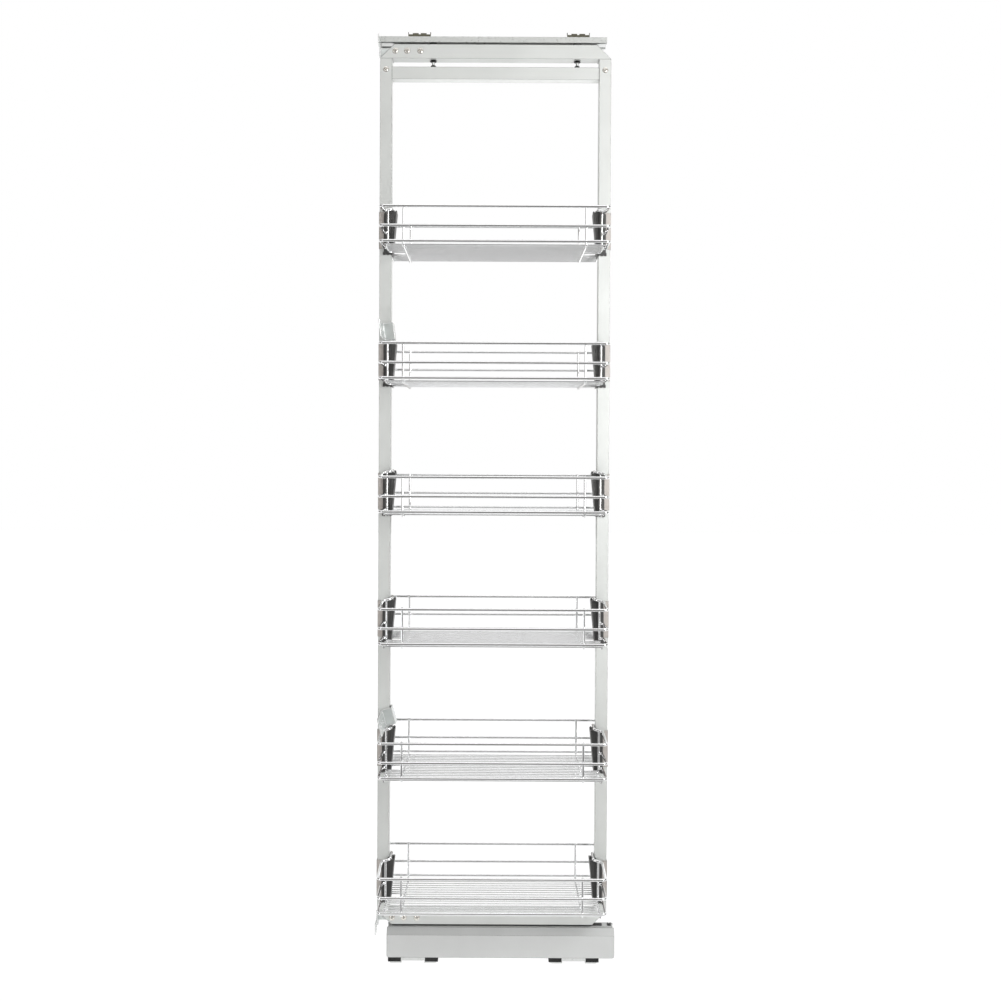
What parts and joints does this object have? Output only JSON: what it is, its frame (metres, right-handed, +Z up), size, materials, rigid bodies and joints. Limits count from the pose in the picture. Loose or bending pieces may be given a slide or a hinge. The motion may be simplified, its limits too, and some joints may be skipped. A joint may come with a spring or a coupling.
{
  "type": "pull out larder unit",
  "caption": "Tall, narrow pull-out larder: a sheet-steel frame on ball-bearing runners at floor and top carries lift-off wire baskets and brackets for a cabinet door.",
  "frame": {"origin": "centre of the eight floor screw holes, on the cabinet floor", "axes": "+Z up, -X the way the unit pulls out (the door side), +Y across the cabinet"},
  "size_m": [0.5085, 0.251, 1.9798],
  "materials": {
    "painted_steel": "satin silver-grey powder coat",
    "zinc": "bright zinc plate",
    "chrome_wire": "polished chrome plate",
    "black_plastic": "fine-textured moulded plastic",
    "black_steel": "black zinc plate"
  },
  "bodies": {
    "cabinet_side": {"runner_housing": "painted_steel", "floor_plate_front": "zinc", "floor_plate_rear": "zinc", "floor_clips": "black_plastic", "bottom_fixed_rails": "zinc", "rear_buffer": "black_plastic", "top_fixed_rail": "zinc", "top_clip_front": "zinc", "top_clip_rear": "zinc"},
    "bottom_outer_cages": {"bottom_outer_cages": "zinc"},
    "bottom_middle_rails": {"bottom_middle_rails": "zinc"},
    "bottom_inner_cages": {"bottom_inner_cages": "zinc"},
    "carriage": {"bottom_inner_rails": "zinc", "carriage_rail": "painted_steel", "spacer_strip": "black_plastic", "rear_catch": "black_plastic", "lower_beam": "painted_steel", "front_post": "painted_steel", "rear_post": "painted_steel", "crossbar": "painted_steel", "corner_connectors": "zinc", "upper_beam": "painted_steel", "frame_screws": "zinc", "top_spacers": "black_plastic", "top_inner_rail": "zinc", "top_door_bracket": "painted_steel", "top_bracket_screws": "zinc", "bottom_door_bracket": "painted_steel", "bottom_bracket_screws": "zinc", "front_clamps": "zinc", "rear_clamps": "zinc", "holder_front_1": "black_plastic", "holder_front_2": "black_plastic", "holder_front_3": "black_plastic", "holder_front_4": "black_plastic", "holder_front_5": "black_plastic", "holder_front_6": "black_plastic", "holder_rear_1": "black_plastic", "holder_rear_2": "black_plastic", "holder_rear_3": "black_plastic", "holder_rear_4": "black_plastic", "holder_rear_5": "black_plastic", "holder_rear_6": "black_plastic"},
    "top_outer_cage": {"top_outer_cage": "zinc"},
    "top_middle_rail": {"top_middle_rail": "zinc"},
    "top_inner_cage": {"top_inner_cage": "zinc"},
    "adjuster_front": {"adjuster_front_stud": "zinc", "adjuster_front_nuts": "black_steel"},
    "adjuster_rear": {"adjuster_rear_stud": "zinc", "adjuster_rear_nuts": "black_steel"},
    "basket_1": {"basket_1": "chrome_wire"},
    "basket_2": {"basket_2": "chrome_wire"},
    "basket_3": {"basket_3": "chrome_wire"},
    "basket_4": {"basket_4": "chrome_wire"},
    "basket_5": {"basket_5": "chrome_wire"},
    "basket_6": {"basket_6": "chrome_wire"},
    "door_bracket_lower": {"door_bracket_lower": "painted_steel"},
    "door_bracket_upper": {"door_bracket_upper": "painted_steel"}
  },
  "joints": [
    {"name": "pull_out", "type": "slide", "parent": "cabinet_side", "child": "carriage", "axis": [-1, 0, 0], "range_m": [0, 0.45]},
    {"name": "bottom_outer_cages_roll", "type": "slide", "parent": "cabinet_side", "child": "bottom_outer_cages", "axis": [-1, 0, 0], "range_m": [0, 0.1125]},
    {"name": "bottom_middle_rails_roll", "type": "slide", "parent": "cabinet_side", "child": "bottom_middle_rails", "axis": [-1, 0, 0], "range_m": [0, 0.225]},
    {"name": "bottom_inner_cages_roll", "type": "slide", "parent": "cabinet_side", "child": "bottom_inner_cages", "axis": [-1, 0, 0], "range_m": [0, 0.3375]},
    {"name": "top_outer_cage_roll", "type": "slide", "parent": "cabinet_side", "child": "top_outer_cage", "axis": [-1, 0, 0], "range_m": [0, 0.1125]},
    {"name": "top_middle_rail_roll", "type": "slide", "parent": "cabinet_side", "child": "top_middle_rail", "axis": [-1, 0, 0], "range_m": [0, 0.225]},
    {"name": "top_inner_cage_roll", "type": "slide", "parent": "cabinet_side", "child": "top_inner_cage", "axis": [-1, 0, 0], "range_m": [0, 0.3375]},
    {"name": "basket_1_lift", "type": "slide", "parent": "carriage", "child": "basket_1", "axis": [0, 0, 1], "range_m": [0, 0.03]},
    {"name": "basket_2_lift", "type": "slide", "parent": "carriage", "child": "basket_2", "axis": [0, 0, 1], "range_m": [0, 0.0016]},
    {"name": "basket_3_lift", "type": "slide", "parent": "carriage", "child": "basket_3", "axis": [0, 0, 1], "range_m": [0, 0.03]},
    {"name": "basket_4_lift", "type": "slide", "parent": "carriage", "child": "basket_4", "axis": [0, 0, 1], "range_m": [0, 0.03]},
    {"name": "basket_5_lift", "type": "slide", "parent": "carriage", "child": "basket_5", "axis": [0, 0, 1], "range_m": [0, 0.0016]},
    {"name": "basket_6_lift", "type": "slide", "parent": "carriage", "child": "basket_6", "axis": [0, 0, 1], "range_m": [0, 0.03]},
    {"name": "adjuster_front_turn", "type": "hinge", "parent": "carriage", "child": "adjuster_front", "pos_m": [-0.1369, 0, 1.915], "axis": [0, 0, 1], "range_deg": [-180, 180]},
    {"name": "adjuster_rear_turn", "type": "hinge", "parent": "carriage", "child": "adjuster_rear", "pos_m": [0.1696, 0, 1.915], "axis": [0, 0, 1], "range_deg": [-180, 180]},
    {"name": "door_bracket_lower_slide", "type": "slide", "parent": "carriage", "child": "door_bracket_lower", "axis": [0, 0, 1], "range_m": [0, 0.12]},
    {"name": "door_bracket_upper_slide", "type": "slide", "parent": "carriage", "child": "door_bracket_upper", "axis": [0, 0, 1], "range_m": [0, 0.12]}
  ],
  "couplings": [
    {"joint": "bottom_outer_cages_roll", "follows": "pull_out", "ratio": 0.25},
    {"joint": "bottom_middle_rails_roll", "follows": "pull_out", "ratio": 0.5},
    {"joint": "bottom_inner_cages_roll", "follows": "pull_out", "ratio": 0.75},
    {"joint": "top_outer_cage_roll", "follows": "pull_out", "ratio": 0.25},
    {"joint": "top_middle_rail_roll", "follows": "pull_out", "ratio": 0.5},
    {"joint": "top_inner_cage_roll", "follows": "pull_out", "ratio": 0.75}
  ]
}
